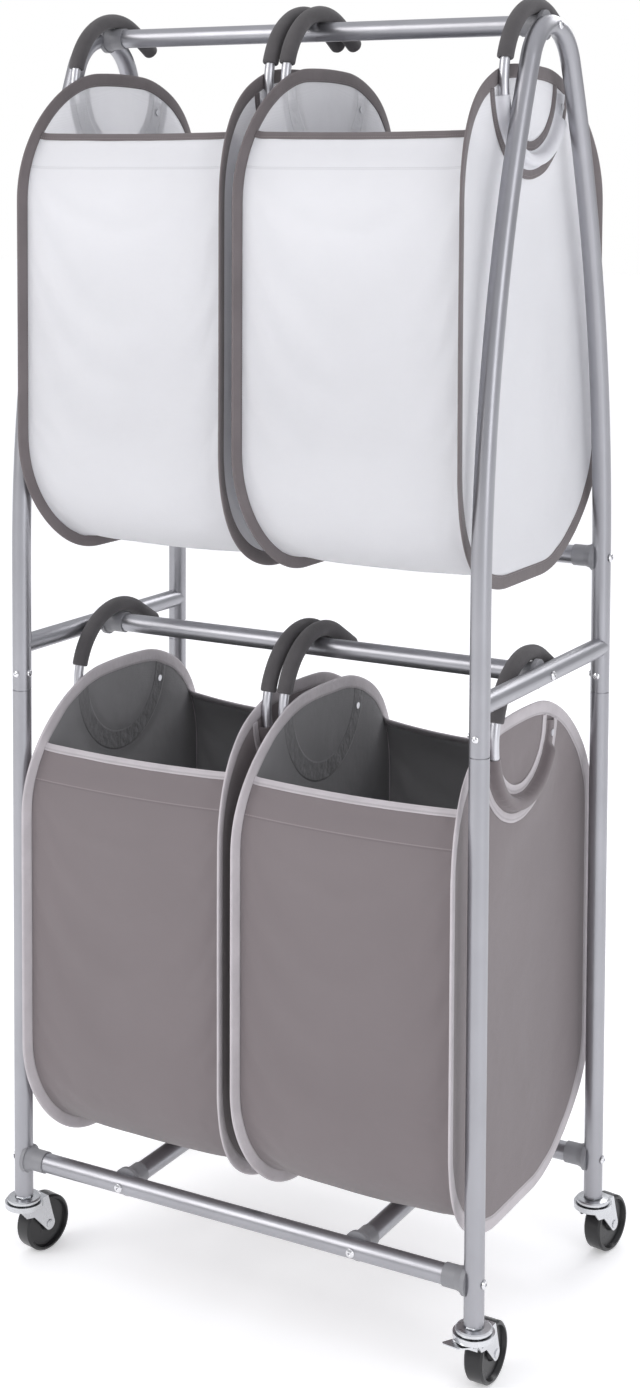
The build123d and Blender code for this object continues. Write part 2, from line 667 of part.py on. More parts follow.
def build_frame():
    for name, side in sides.items():
        save(f"arch_{name}", side_frame(side))
    for name, (x_sign, y_sign, _, _) in casters.items():
        save(f"lower_leg_{name}", lower_leg(x_sign, y_sign))
    rails = {
        "top_rail": (0, top_rail_z),
        "mid_rail": (0, mid_rail_z),
        "rear_rail_mid": (rear_rail_y, rear_rail_z),
        "base_rail_front": (-leg_y, base_rail_z),
        "base_rail_rear": (leg_y, base_rail_z),
    }
    for name, (y, z) in rails.items():
        body = rail((-leg_x, y, z), (leg_x, y, z))
        if name.startswith("base"):
            for x in (-base_cross_x, base_cross_x):
                past = tube_r + cut_margin
                body -= rod((x, y - past, z), (x, y + past, z), bolt_hole_radius)
        save(name, body)
    save("base_cross_tubes", *[rail((x, -leg_y, base_rail_z), (x, leg_y, base_rail_z))
                               for x in (-base_cross_x, base_cross_x)])
    save("rail_saddles", *[saddle(*end) for end in rail_ends()])
    save("rail_bolts", *[rail_bolt(*end) for end in rail_ends()])
    corners = [(x_sign, y_sign) for x_sign, y_sign, _, _ in casters.values()]
    save("leg_screws", *[leg_screw(x, y, facing) for x, y in corners
                         for facing in ("front", "inside")])
    places = [(x_sign * leg_x, y_sign * leg_y) for x_sign, y_sign in corners]
    save("leg_inserts", *[leg_insert(x, y) for x, y in places])
    save("caster_stems", *[caster_stem(x, y) for x, y in places])
    save("swivel_balls", *[ball for x, y in places for ball in swivel_balls(x, y)])


def build_casters():
    for name, (x_sign, y_sign, trail_angle, braked) in casters.items():
        place = Pos(x_sign * leg_x, y_sign * leg_y, 0) * Rot(0, 0, -trail_angle)
        body, rivet = fork(), axle()
        if braked:
            pin = brake_pin()
            body -= pin
            save(f"brake_lever_{name}", place * brake_lever())
            save(f"caster_axle_{name}", place * rivet, place * pin)
        else:
            save(f"caster_axle_{name}", place * rivet)
        save(f"caster_fork_{name}", place * body)
        save(f"caster_wheel_{name}", place * wheel())


build_frame()
build_casters()
for tier in tiers:
    for side_name in sides:
        bag(tier, side_name)
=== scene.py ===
import json
import math

import bmesh
import bpy
import numpy as np
from mathutils import Matrix, Vector, noise


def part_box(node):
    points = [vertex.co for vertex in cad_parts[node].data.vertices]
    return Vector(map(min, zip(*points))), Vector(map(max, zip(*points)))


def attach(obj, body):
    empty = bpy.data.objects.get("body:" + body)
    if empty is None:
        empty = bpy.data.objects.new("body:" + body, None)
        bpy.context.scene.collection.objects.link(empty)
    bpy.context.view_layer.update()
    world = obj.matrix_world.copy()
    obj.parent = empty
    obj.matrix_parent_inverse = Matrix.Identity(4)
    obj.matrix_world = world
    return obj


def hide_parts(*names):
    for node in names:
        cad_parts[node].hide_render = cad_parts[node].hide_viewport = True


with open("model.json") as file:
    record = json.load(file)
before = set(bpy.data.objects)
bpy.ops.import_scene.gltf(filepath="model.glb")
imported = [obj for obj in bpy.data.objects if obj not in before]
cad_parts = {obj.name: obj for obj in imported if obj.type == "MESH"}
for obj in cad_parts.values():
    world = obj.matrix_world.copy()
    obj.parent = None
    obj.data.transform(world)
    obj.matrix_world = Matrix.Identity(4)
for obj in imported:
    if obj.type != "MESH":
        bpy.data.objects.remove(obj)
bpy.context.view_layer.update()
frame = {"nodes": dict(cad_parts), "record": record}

# --- sizes shared with the frame, in metres (angles in degrees) ---------------------------------
PANEL_DEPTH, PANEL_HEIGHT, PANEL_CORNER = 0.444, 0.651, 0.170
PANEL_DROP, WRAP_DROP = 0.054, 0.136
FLAT_HALF, RIM_BOW = 0.125, 0.0111
FLANGE, CLOTH, SHEET = 0.018, 0.0015, 0.0013     # binding's width, cloth's place, sheet's thickness
SHEET_INSET, TUCK = 0.0075, 0.0155               # sheet's edge, strips' ends, in from the rim
HOOK_R, HOOK_TUBE, HOOK_GAP = 0.0965, 0.00635, 0.0012
FOAM_R, FOAM_BORE = 0.011, 0.0065
TUBE_R, LEG_X = 0.0127, 0.340
SADDLE_SLEEVE, SADDLE_START = 0.0144, 0.3007
SHOULDER_CLEAR, FLANGE_CLEAR = 0.0173, 0.0193    # foam's distance from a rail's axis over a saddle
SHOULDER_START, FLANGE_START = 0.0229, 0.0121    # where those start, in from the leg's centre
RAIL_AIR = 0.0003
HOOK_DROP = HOOK_R - FOAM_R - RAIL_AIR - TUBE_R
CASING_FRONT, CASING_END, TAB_START, TAB_FLAT = 190.6, 354.0, 330.5, 337.0
FOAM_FRONT, FOAM_TIP, TIP_LENGTH = 164.0, 60.0, 0.050
BEND_STEPS, TIP_STEPS = 60, 21
CASING_FOOT, U_WIDTH = 0.012, 0.012
CROWN, CROWN_REACH, CROWN_FOOT = 0.0055, 0.13, 0.16
RIM_TAPE_OUT, RIM_TAPE_IN = 0.00185, 0.00150
LIVELY = {"upper": 0.6, "lower": 1.0}
WRAP_LIVELY = {"upper": 0.8, "lower": 1.35}
RIM_LIVELY = {"upper": 0.45, "lower": 1.0}
DROOP = {"upper": (0.0025, 0.003), "lower": (0.0045, 0.013)}     # front, back
DROOP_DEPTH, HEM_DEPTH = 0.16, 0.05              # how far down the droop and the straight hem reach
SIDE_COLUMNS, WRAP_COLUMNS, U_STEPS, GATHER = 33, 37, 90, 0.985
SEAM_FREE, CASING_FREE, TOP_FREE = (0.012, 0.085), (0.020, 0.075), (0.055, 0.13)
PINNED, NO_CASING, CASING_REACH = 0.02, 1.0, 0.02
SIDE_SLACK, SIDE_RIPPLE, WRAP_WAVE, WRAP_RIPPLE = 0.0036, 0.0011, 0.0018, 0.0007
SIDE_SHIFT, WRAP_SHIFT = 0.0030, 0.0025          # the most that hanging may move a sheet
BELLY, BELLY_GAIN, ROLL, ROLL_REACH = 0.0030, 0.0016, 0.0030, 0.009
CASING_FLAT, CASING_PUCKER, CASING_DENT, CASING_SHEET = 0.655, 0.0011, -0.0002, 0.0008
FLANK = (0.002, 0.0125)                          # heights between which a casing's side puckers
CASING_STRETCH = 1.9
DRAPE_FRAMES = 22
DRAPE = {"quality": 5, "mass": 0.18, "tension_stiffness": 18, "compression_stiffness": 18,
         "shear_stiffness": 12, "bending_stiffness": 0.9, "air_damping": 2.0,
         "vertex_group_mass": "seam", "shrink_min": -0.004}


# --- materials ----------------------------------------------------------------------------------

class Tree:
    """Short forms for adding shader nodes."""

    def __init__(self, name, roughness=0.5, metallic=0.0, **sockets):
        self.material = bpy.data.materials.new(name)
        self.material.use_nodes = True
        self.tree = self.material.node_tree
        self.shader = self.tree.nodes["Principled BSDF"]
        self.set(self.shader, {"Roughness": roughness, "Metallic": metallic, **sockets})
        self.place = self.add("ShaderNodeTexCoord").outputs["Object"]

    def set(self, node, inputs):
        for key, value in inputs.items():
            if isinstance(value, bpy.types.NodeSocket):
                self.tree.links.new(value, node.inputs[key])
            else:
                node.inputs[key].default_value = value

    def add(self, kind, inputs=None, **props):
        node = self.tree.nodes.new(kind)
        for key, value in props.items():
            setattr(node, key, value)
        self.set(node, inputs or {})
        return node

    def math(self, operation, a, b=0.0, clamp=False):
        node = self.add("ShaderNodeMath", {0: a, 1: b}, operation=operation, use_clamp=clamp)
        return node.outputs[0]

    def noise(self, scale, detail=3.0, rough=0.5, vector=None):
        return self.add("ShaderNodeTexNoise", {"Vector": vector or self.place, "Scale": scale,
                                               "Detail": detail, "Roughness": rough}).outputs[0]

    def stretched(self, scales):
        return self.add("ShaderNodeMapping", {"Vector": self.place, "Scale": scales}).outputs[0]

    def ramp(self, factor, stops):
        node = self.add("ShaderNodeValToRGB", {"Fac": factor})
        elements = node.color_ramp.elements
        while len(elements) < len(stops):
            elements.new(0.5)
        for element, (position, colour) in zip(elements, stops):
            element.position = position
            element.color = (*colour, 1)
        return node.outputs[0]

    def mix(self, factor, a, b):
        node = self.add("ShaderNodeMix", data_type="RGBA")
        self.set(node, {0: factor})
        for index, value in ((6, a), (7, b)):
            if not isinstance(value, bpy.types.NodeSocket):
                value = (*value, 1)
            self.set(node, {index: value})
        return node.outputs[2]

    def bump(self, height, distance, strength=1.0, under=None):
        inputs = {"Height": height, "Distance": distance, "Strength": strength}
        if under is not None:
            inputs["Normal"] = under
        return self.add("ShaderNodeBump", inputs).outputs[0]

    def finish(self, colour=None, normal=None, roughness=None):
        if colour is not None:
            self.set(self.shader, {"Base Color": colour})
        if normal is not None:
            self.set(self.shader, {"Normal": normal})
        if roughness is not None:
            self.set(self.shader, {"Roughness": roughness})
        return self.material


def tone(colour, share):
    return tuple(c * share for c in colour)


def cloudy(colour, spread):
    """Two stops of a ramp, a little darker and a little lighter than a colour."""
    return [(0.3, tone(colour, 1 - spread)), (0.7, tone(colour, 1 + spread))]


CLOTH_SPREAD, WEAVE_PITCH, RIB_PITCH = 0.035, 0.0011, 0.0013


def metal(name, colour, roughness, metallic=1.0, spread=0.06, grain=900.0, grain_depth=2e-6):
    """Metal or metallic paint with fine grain, cloudy tone and slightly uneven gloss."""
    t = Tree(name, roughness, metallic)
    cloud = t.noise(9.0, 4.0)
    fleck = t.noise(grain, 2.0)
    base = t.ramp(cloud, cloudy(colour, spread))
    base = t.mix(t.math("MULTIPLY", fleck, 0.12), base, tone(colour, 0.75))
    rough = t.math("ADD", t.math("MULTIPLY", t.noise(28.0, 5.0), 0.12), roughness - 0.06)
    return t.finish(base, t.bump(fleck, grain_depth), rough)


def plastic(name, colour, roughness, spread=0.08, grain=1400.0):
    """Moulded plastic with a faint spark-eroded texture."""
    t = Tree(name, roughness)
    base = t.ramp(t.noise(14.0, 4.0), cloudy(colour, spread))
    rough = t.math("ADD", t.math("MULTIPLY", t.noise(60.0, 4.0), 0.16), roughness - 0.08)
    return t.finish(base, t.bump(t.noise(grain, 2.0), 8e-6), rough)


def threads(t, u, v, pitch):
    """Plain weave height from two lengths across the cloth, in metres."""
    turn = 2 * math.pi / pitch
    wobble = t.math("MULTIPLY", t.noise(160.0, 2.0), 1.6)
    a = t.math("SINE", t.math("ADD", t.math("MULTIPLY", u, turn), wobble))
    b = t.math("SINE", t.math("ADD", t.math("MULTIPLY", v, turn), wobble))
    return t.math("ADD", t.math("MULTIPLY", t.math("MULTIPLY", a, b), 0.5), 0.5)


def stitch_line(t, along, across, at, pitch=0.0032, width=0.0011, share=0.62):
    """Mask of a row of stitches: dashes along one length at a fixed distance across."""
    near = t.math("LESS_THAN", t.math("ABSOLUTE", t.math("SUBTRACT", across, at)), width / 2)
    dash = t.math("LESS_THAN", t.math("FRACT", t.math("DIVIDE", along, pitch)), share)
    return t.math("MULTIPLY", near, dash)


def cloth(name, colour, stitch=None, hem=0.0, shadow=0.0, crease=1.0, glow=0.12):
    """Woven cloth. UV holds lengths in metres: u across, v down from the top edge.

    hem draws a row of stitches that far below the top edge; shadow darkens the sewn casing's place
    where it shows through a side panel, with v the distance from the hook's round centre line.
    glow is how much light comes through the thin cloth.
    """
    t = Tree(name, 0.88)
    t.set(t.shader, {"Subsurface Weight": glow, "Subsurface Radius": (1, 1, 1),
                     "Subsurface Scale": 0.009})
    t.set(t.shader, {"Sheen Weight": 0.25, "Sheen Roughness": 0.5, "Specular IOR Level": 0.25})
    uv = t.add("ShaderNodeSeparateXYZ", {0: t.add("ShaderNodeUVMap", uv_map="flat").outputs[0]})
    u, v = uv.outputs[0], uv.outputs[1]
    weave = threads(t, u, v, WEAVE_PITCH)
    slub = t.noise(1.0, 3.0, vector=t.stretched((40.0, 40.0, 420.0)))
    cloud = t.noise(5.0, 4.0)
    base = t.ramp(cloud, cloudy(colour, CLOTH_SPREAD))
    # Darker between the threads: painted shade in the weave's hollows.
    base = t.mix(t.math("MULTIPLY", t.math("SUBTRACT", 1.0, weave), 0.14), base, tone(colour, 0.6))
    base = t.mix(t.math("MULTIPLY", slub, 0.10), base, tone(colour, 0.86))
    normal = t.bump(t.noise(16.0, 3.0, 0.55), 0.0016 * crease)
    normal = t.bump(weave, 0.00012, 0.6, normal)
    if hem:
        fold = t.math("LESS_THAN", v, hem)
        normal = t.bump(fold, 0.0006, 0.8, normal)
        sewn = stitch_line(t, u, v, hem - 0.002, width=0.0014)
        base = t.mix(t.math("MULTIPLY", sewn, 0.75), base, stitch)
        normal = t.bump(sewn, 0.0004, 0.6, normal)
        # A darker line along the hem's fold: painted shade at the fold.
        edge = t.math("LESS_THAN", t.math("ABSOLUTE", t.math("SUBTRACT", v, hem)), 0.0009)
        base = t.mix(t.math("MULTIPLY", edge, 0.22), base, tone(colour, 0.5))
    if shadow:
        band = t.math("SUBTRACT", 1.0, t.math("MULTIPLY", t.math("ABSOLUTE", v), 1 / 0.013))
        band = t.math("MULTIPLY", band, 6.0, clamp=True)
        base = t.mix(t.math("MULTIPLY", band, shadow), base, tone(colour, 0.55))
        pucker = t.noise(75.0, 2.0, 0.5)
        normal = t.bump(t.math("MULTIPLY", band, pucker), 0.004 * crease, 0.7, normal)
    return t.finish(base, normal)


def tape(name, colour, stitch, width_at=0.0158, pucker=0.0):
    """Ribbed binding tape. UV: u along the tape, v in from its folded edge, in metres."""
    t = Tree(name, 0.82)
    t.set(t.shader, {"Sheen Weight": 0.2, "Sheen Roughness": 0.5, "Specular IOR Level": 0.3})
    uv = t.add("ShaderNodeSeparateXYZ", {0: t.add("ShaderNodeUVMap", uv_map="flat").outputs[0]})
    u, v = uv.outputs[0], uv.outputs[1]
    rib = t.math("SINE", t.math("ADD", t.math("MULTIPLY", u, 2 * math.pi / RIB_PITCH),
                                t.math("MULTIPLY", t.noise(120.0, 2.0), 2.0)))
    rib = t.math("ADD", t.math("MULTIPLY", rib, 0.5), 0.5)
    base = t.ramp(t.noise(22.0, 4.0), [(0.3, tone(colour, 0.92)), (0.7, tone(colour, 1.08))])
    # Darker between the ribs: painted shade in the rib hollows.
    base = t.mix(t.math("MULTIPLY", t.math("SUBTRACT", 1.0, rib), 0.2), base, tone(colour, 0.6))
    # Lighter in noisy patches along the folded edge.
    lighter_fold_edge = t.math("LESS_THAN", v, 0.0022)
    base = t.mix(t.math("MULTIPLY", lighter_fold_edge, t.math("MULTIPLY", t.noise(90.0, 3.0), 0.35)), base,
                 tone(colour, 1.35))
    sewn = stitch_line(t, u, v, width_at)
    base = t.mix(t.math("MULTIPLY", sewn, 0.8), base, stitch)
    # A darker band either side of the stitches: painted shade in the stitch trench.
    trench = t.math("LESS_THAN", t.math("ABSOLUTE", t.math("SUBTRACT", v, width_at)), 0.0012)
    base = t.mix(t.math("MULTIPLY", t.math("SUBTRACT", trench, sewn, clamp=True), 0.25), base,
                 tone(colour, 0.5))
    normal = t.bump(t.noise(70.0, 3.0), 0.0006 + pucker)
    normal = t.bump(rib, 0.00014, 0.7, normal)
    normal = t.bump(t.math("SUBTRACT", sewn, trench), 0.0003, 0.7, normal)
    return t.finish(base, normal)


def foam(name, colour):
    """Closed-cell foam with fine pores and a dull skin."""
    t = Tree(name, 0.93)
    t.set(t.shader, {"Specular IOR Level": 0.2, "Sheen Weight": 0.15, "Sheen Roughness": 0.6})
    pores = t.add("ShaderNodeTexVoronoi", {"Vector": t.place, "Scale": 1100.0}).outputs["Distance"]
    base = t.ramp(t.noise(30.0, 4.0), [(0.3, tone(colour, 0.9)), (0.7, tone(colour, 1.1))])
    # Darker in the pores: painted shade inside them.
    base = t.mix(t.math("MULTIPLY", t.math("LESS_THAN", pores, 0.22), 0.5), base, tone(colour, 0.5))
    normal = t.bump(t.noise(55.0, 4.0), 0.0008)
    return t.finish(base, t.bump(pores, 0.00012, 0.8, normal))


SILVER, ZINC = (0.385, 0.385, 0.41), (0.66, 0.67, 0.69)
WHITE, GREY, DARK = (0.775, 0.775, 0.815), (0.205, 0.178, 0.184), (0.190, 0.187, 0.192)
TAUPE, LILAC = (0.155, 0.135, 0.138), (0.54, 0.505, 0.525)
HEM, HEM_TAPE_STITCH = 0.050, 0.0080
looks = {
    "silver_tube": metal("silver_powder_coat", SILVER, 0.35, metallic=0.86, grain=1500.0,
                         grain_depth=6e-6),
    "saddle_plastic": plastic("grey_plastic", (0.25, 0.25, 0.265), 0.42),
    "zinc": metal("zinc_plate", ZINC, 0.27, spread=0.10, grain=300.0),
    "screw_steel": metal("bright_screw", (0.74, 0.74, 0.76), 0.18, spread=0.05),
    "black_wheel": plastic("black_wheel", (0.012, 0.012, 0.013), 0.30, spread=0.2, grain=500.0),
    "hook_steel": metal("hook_steel", (0.62, 0.62, 0.65), 0.36, spread=0.05, grain=600.0),
    "spring_steel": metal("spring_steel", (0.35, 0.35, 0.36), 0.35),
    "insert_plastic": plastic("insert_plastic", (0.03, 0.03, 0.032), 0.5),
    "foam": foam("foam", (0.082, 0.077, 0.080)),
}
bag_looks = {
    "upper": {
        "side": cloth("white_side", tone(WHITE, 0.97), crease=0.8, glow=0.7),
        "side_in": cloth("white_side_inside", WHITE, shadow=0.16, crease=0.8, glow=0.7),
        "wrap": cloth("white_wrap", WHITE, stitch=tone(WHITE, 0.72), hem=HEM, crease=0.8, glow=0.7),
        "wrap_in": cloth("white_wrap_inside", WHITE, crease=0.8, glow=0.7),
        "tape": tape("taupe_tape", TAUPE, tone(TAUPE, 1.7)),
        "hem_tape": tape("taupe_hem_tape", TAUPE, tone(TAUPE, 1.7), width_at=HEM_TAPE_STITCH),
        "casing": cloth("white_casing", tone(WHITE, 0.97), crease=1.2),
    },
    "lower": {
        "side": cloth("grey_side", GREY, crease=1.1),
        "side_in": cloth("grey_side_inside", DARK, shadow=0.35, crease=1.3),
        "wrap": cloth("grey_wrap", GREY, stitch=tone(GREY, 1.6), hem=HEM, crease=1.1),
        "wrap_in": cloth("grey_wrap_inside", DARK, crease=1.1),
        "tape": tape("lilac_tape", LILAC, tone(LILAC, 0.72), pucker=0.0008),
        "hem_tape": tape("lilac_hem_tape", LILAC, tone(LILAC, 0.72), width_at=HEM_TAPE_STITCH),
        "casing": cloth("grey_casing", tone(GREY, 0.96), crease=1.4),
    },
}


# --- mesh helpers -------------------------------------------------------------------------------

def grid(name, points, uv, loop_rows=False, loop_cols=False, smooth=True):
    """Quad grid from an array (rows, columns, 3).

    uv is (rows, columns, 2), one longer where it loops.
    """
    rows, cols = points.shape[:2]
    faces, corners = [], []
    for i in range(rows if loop_rows else rows - 1):
        for j in range(cols if loop_cols else cols - 1):
            a, b = (i + 1) % rows, (j + 1) % cols
            faces.append((i * cols + j, i * cols + b, a * cols + b, a * cols + j))
            corners += [uv[i, j], uv[i, j + 1], uv[i + 1, j + 1], uv[i + 1, j]]
    mesh = bpy.data.meshes.new(name)
    mesh.from_pydata(points.reshape(-1, 3).tolist(), [], faces)
    layer = mesh.uv_layers.new(name="flat")
    layer.data.foreach_set("uv", np.array(corners, np.float32).ravel())
    if smooth:
        mesh.polygons.foreach_set("use_smooth", [True] * len(faces))
    obj = bpy.data.objects.new(name, mesh)
    bpy.context.scene.collection.objects.link(obj)
    return obj


def recalc(obj):
    """Faces of a closed mesh turned outwards."""
    bm = bmesh.new()
    bm.from_mesh(obj.data)
    bmesh.ops.recalc_face_normals(bm, faces=bm.faces)
    bm.to_mesh(obj.data)
    bm.free()


def cap_ends(obj, rows, cols):
    """Closes both ends of a swept grid whose columns loop."""
    bm = bmesh.new()
    bm.from_mesh(obj.data)
    bm.verts.ensure_lookup_table()
    for start in (0, (rows - 1) * cols):
        bm.faces.new([bm.verts[start + j] for j in range(cols)])
    bmesh.ops.recalc_face_normals(bm, faces=bm.faces)
    bm.to_mesh(obj.data)
    bm.free()


def subdivide(obj):
    modifier = obj.modifiers.new("smooth", "SUBSURF")
    modifier.levels = modifier.render_levels = 1


def thicken(obj, thickness, inside=None):
    modifier = obj.modifiers.new("thickness", "SOLIDIFY")
    modifier.thickness = thickness
    modifier.offset = 0.0
    modifier.use_even_offset = True
    if inside is not None:
        obj.data.materials.append(inside)
        modifier.material_offset = 1


def rough_noise(seed, x, y, z):
    return noise.noise(Vector((x + 17.3 * seed, y - 5.1 * seed, z + 3.7 * seed)))


def step(a, b, x):
    t = np.clip((x - a) / (b - a), 0, 1)
    return t * t * (3 - 2 * t)


# --- bag outline --------------------------------------------------------------------------------

def bow(y):
    """How far a panel stands outwards of its flat middle at depth y."""
    reach = PANEL_DEPTH / 2 - FLAT_HALF
    radius = (reach ** 2 + RIM_BOW ** 2) / (2 * RIM_BOW)
    d = np.clip(np.abs(y) - FLAT_HALF, 0, reach)
    return radius - np.sqrt(radius ** 2 - d ** 2)


def half_outline(inset, corner_steps=14, straight_steps=22):
    """Rear half of a panel's rim, bottom to top: rows (y, z, ny, nz) about the panel's centre."""
    hw, hh, r = PANEL_DEPTH / 2 - inset, PANEL_HEIGHT / 2 - inset, PANEL_CORNER - inset
    rows = []
    for i in range(corner_steps + 1):
        a = math.radians(-90 + 90 * i / corner_steps)
        rows.append((hw - r + r * math.cos(a), -hh + r + r * math.sin(a), math.cos(a), math.sin(a)))
    for i in range(1, straight_steps):
        rows.append((hw, (-1 + 2 * i / straight_steps) * (hh - r), 1.0, 0.0))
    rows += [(y, -z, ny, -nz) for y, z, ny, nz in reversed(rows[:corner_steps + 1])]
    return np.array(rows)


def rim_loop(inset, corner_steps=40, straight=0.008):
    """Whole rim as a closed loop of (y, z, ny, nz) at nearly even steps."""
    half = half_outline(inset, corner_steps, int((PANEL_HEIGHT - 2 * PANEL_CORNER) / straight))
    flat = max(2, int(2 * half[0, 0] / straight))
    shares = [1 - 2 * k / flat for k in range(1, flat)]
    top = np.array([(half[-1, 0] * share, half[-1, 1], 0.0, 1.0) for share in shares])
    other = half[::-1] * np.array([-1, 1, -1, 1])
    bottom = np.array([(-half[0, 0] * share, half[0, 1], 0.0, -1.0) for share in shares])
    return np.concatenate([half, top, other, bottom])


def inside_outline(y, z, inset):
    hw, hh, r = PANEL_DEPTH / 2 - inset, PANEL_HEIGHT / 2 - inset, PANEL_CORNER - inset
    dy, dz = max(abs(y) - (hw - r), 0), max(abs(z) - (hh - r), 0)
    return math.hypot(dy, dz) < r


# --- bag pieces ---------------------------------------------------------------------------------

class Side:
    """One side of a bag: where its panel is and which way is outwards."""

    def __init__(self, bag, tier, hook_x, out, rail_z, outer, seed):
        self.tier, self.hook_x, self.out = tier, hook_x, out
        self.rail_z, self.seed = rail_z, seed
        self.x = hook_x - out * (HOOK_TUBE + HOOK_GAP + CLOTH / 2)
        self.centre_z = rail_z - PANEL_DROP - PANEL_HEIGHT / 2
        self.ring_z = rail_z - HOOK_DROP
        self.label = f"{bag}_{'outer' if outer else 'inner'}"

    def at(self, y, z, off):
        """Point on the panel at depth y and height z (from the panel's centre), off outwards."""
        across = np.clip(1 - (y / CROWN_REACH) ** 2, 0, 1) ** 2
        crown = CROWN * across * step(CROWN_FOOT, PANEL_HEIGHT / 2, z)
        return np.stack([self.x + self.out * (bow(y) + off), y, self.centre_z + z + crown], -1)

    def ring(self, angle, rho, height):
        """Point at a polar angle, offset from the hook's centre line, and height off the panel."""
        a = np.radians(angle)
        x = self.x + self.out * (CLOTH / 2 + height)
        radius = HOOK_R + rho
        return np.stack([x + 0 * a, radius * np.cos(a), self.ring_z + radius * np.sin(a)], -1)


drapes = []      # sheets with their pinned vertices, inward direction or None, and largest shift


def side_panel(s):
    """Sheet of a side panel, slightly slack between its hoop and the sewn casing."""
    half = half_outline(SHEET_INSET)
    cols = SIDE_COLUMNS
    c = np.linspace(-1, 1, cols)
    y, z = half[:, 0:1] * c, half[:, 1:2] + 0 * c
    ring_distance = np.hypot(y, s.centre_z + z - s.ring_z) - HOOK_R
    edge = np.minimum(half[:, 0:1] * (1 - np.abs(c)), (PANEL_HEIGHT / 2 - np.abs(z)))
    free = step(*SEAM_FREE, edge) * step(*CASING_FREE, np.abs(ring_distance))
    free *= step(*TOP_FREE, PANEL_HEIGHT / 2 - z)
    slack = np.empty_like(y)
    for i in range(y.shape[0]):
        for j in range(cols):
            n = rough_noise(s.seed, 5.0 * y[i, j], 2.2 * z[i, j], 0)
            fine = rough_noise(s.seed + 9, 14 * y[i, j], 5 * z[i, j], 1.0)
            slack[i, j] = SIDE_SLACK * (1 + 0.9 * n) + SIDE_RIPPLE * fine
    off = -free * np.maximum(slack, 0)
    points = s.at(y, z, off)
    uv = np.stack([y, ring_distance], -1)
    low = s.centre_z + z < s.ring_z + CASING_REACH
    uv[..., 1] = np.where(low, uv[..., 1], NO_CASING)
    obj = grid(f"{s.label}_panel", points, uv)
    if s.out < 0:
        obj.data.flip_normals()
    pinned = (free.ravel() < PINNED).nonzero()[0].tolist()
    look = bag_looks[s.tier]
    obj.data.materials.append(look["side"])
    drapes.append((obj, pinned, Vector((-s.out, 0, 0)), SIDE_SHIFT))
    return obj


def sweep(name, frames, profile, loop=False, v_values=None):
    """Closed profile carried along frames (origin, axis a, axis b); profile may vary per frame."""
    rows = len(frames)
    cols = profile(0).shape[0]
    points = np.empty((rows, cols, 3))
    lengths = np.zeros(rows + 1)
    for i, (origin, a, b) in enumerate(frames):
        p = profile(i)
        points[i] = origin + p[:, 0:1] * a + p[:, 1:2] * b
        if i:
            lengths[i] = lengths[i - 1] + np.linalg.norm(frames[i][0] - frames[i - 1][0])
    lengths[rows] = lengths[rows - 1] + np.linalg.norm(frames[0][0] - frames[-1][0])
    v = profile(0)[:, 0] if v_values is None else v_values
    v = np.append(v, v[0])
    uv = np.stack(np.meshgrid(lengths[:rows + 1 if loop else rows], v, indexing="ij"), -1)
    obj = grid(name, points, uv, loop_rows=loop, loop_cols=True)
    if loop:
        recalc(obj)
    else:
        cap_ends(obj, rows, cols)
    return obj


def rim_binding(s):
    """Tape folded over the rim and both sides of the seam, with its hoop inside."""
    loop = rim_loop(0.0)
    corner = np.abs(np.abs(loop[:, 2]) - 0.5) < 0.499
    lively = RIM_LIVELY[s.tier]
    frames = []
    for y, z, ny, nz in loop:
        lateral = s.out * 0.0007 * rough_noise(s.seed + 3, 7 * y, 4 * z, 2.0)
        origin = s.at(np.array(y), np.array(z), 0.0) + np.array([lateral, 0, 0])
        slope = (bow(abs(y)) - bow(abs(y) - 0.004)) / 0.004 * np.sign(y)
        inward = np.array([-s.out * slope * ny, -ny, -nz])
        inward /= np.linalg.norm(inward)
        frames.append((origin, inward, np.array([float(s.out), 0.0, 0.0])))
    width, t_out, t_in = FLANGE, RIM_TAPE_OUT, RIM_TAPE_IN
    base = np.array([(width, t_in * 0.72), (width - 0.0012, t_in), (0.0115, t_out),
                     (0.006, t_out + 0.0001), (0.0018, t_out - 0.0001), (0.0004, 0.0010),
                     (0.0, 0.0),
                     (0.0004, -0.0010), (0.0018, -t_out + 0.0001), (0.006, -t_out - 0.0001),
                     (0.0115, -t_out), (width - 0.0012, -t_in), (width, -t_in * 0.72)])

    def profile(i):
        y, z = loop[i, 0], loop[i, 1]
        p = base.copy()
        puff = rough_noise(s.seed + 5, 60 * y, 60 * z, 0.0) * (1.0 if corner[i] else 0.35) * lively
        wave = rough_noise(s.seed + 6, 26 * y, 26 * z, 4.0) * (1.0 if corner[i] else 0.4) * lively
        p[:, 1] *= 1 + 0.26 * puff
        p[[0, 1, 11, 12], 0] += 0.0013 * wave
        return p

    v = np.where(base[:, 0] < 0, 0, base[:, 0])
    obj = sweep(f"{s.label}_rim_tape", frames, profile, loop=True, v_values=v)
    obj.data.materials.append(bag_looks[s.tier]["tape"])
    subdivide(obj)
    return obj


def strip_ends(s, rho):
    """First and last angle at which a strip beside the casing is tucked under the rim tape."""
    angles = np.arange(176.0, 368.0, 0.5)
    dz = s.ring_z - s.centre_z
    radius = HOOK_R + rho
    keep = [a for a in angles if inside_outline(radius * math.cos(math.radians(a)),
                                                dz + radius * math.sin(math.radians(a)), TUCK)]
    return min(keep), max(keep)


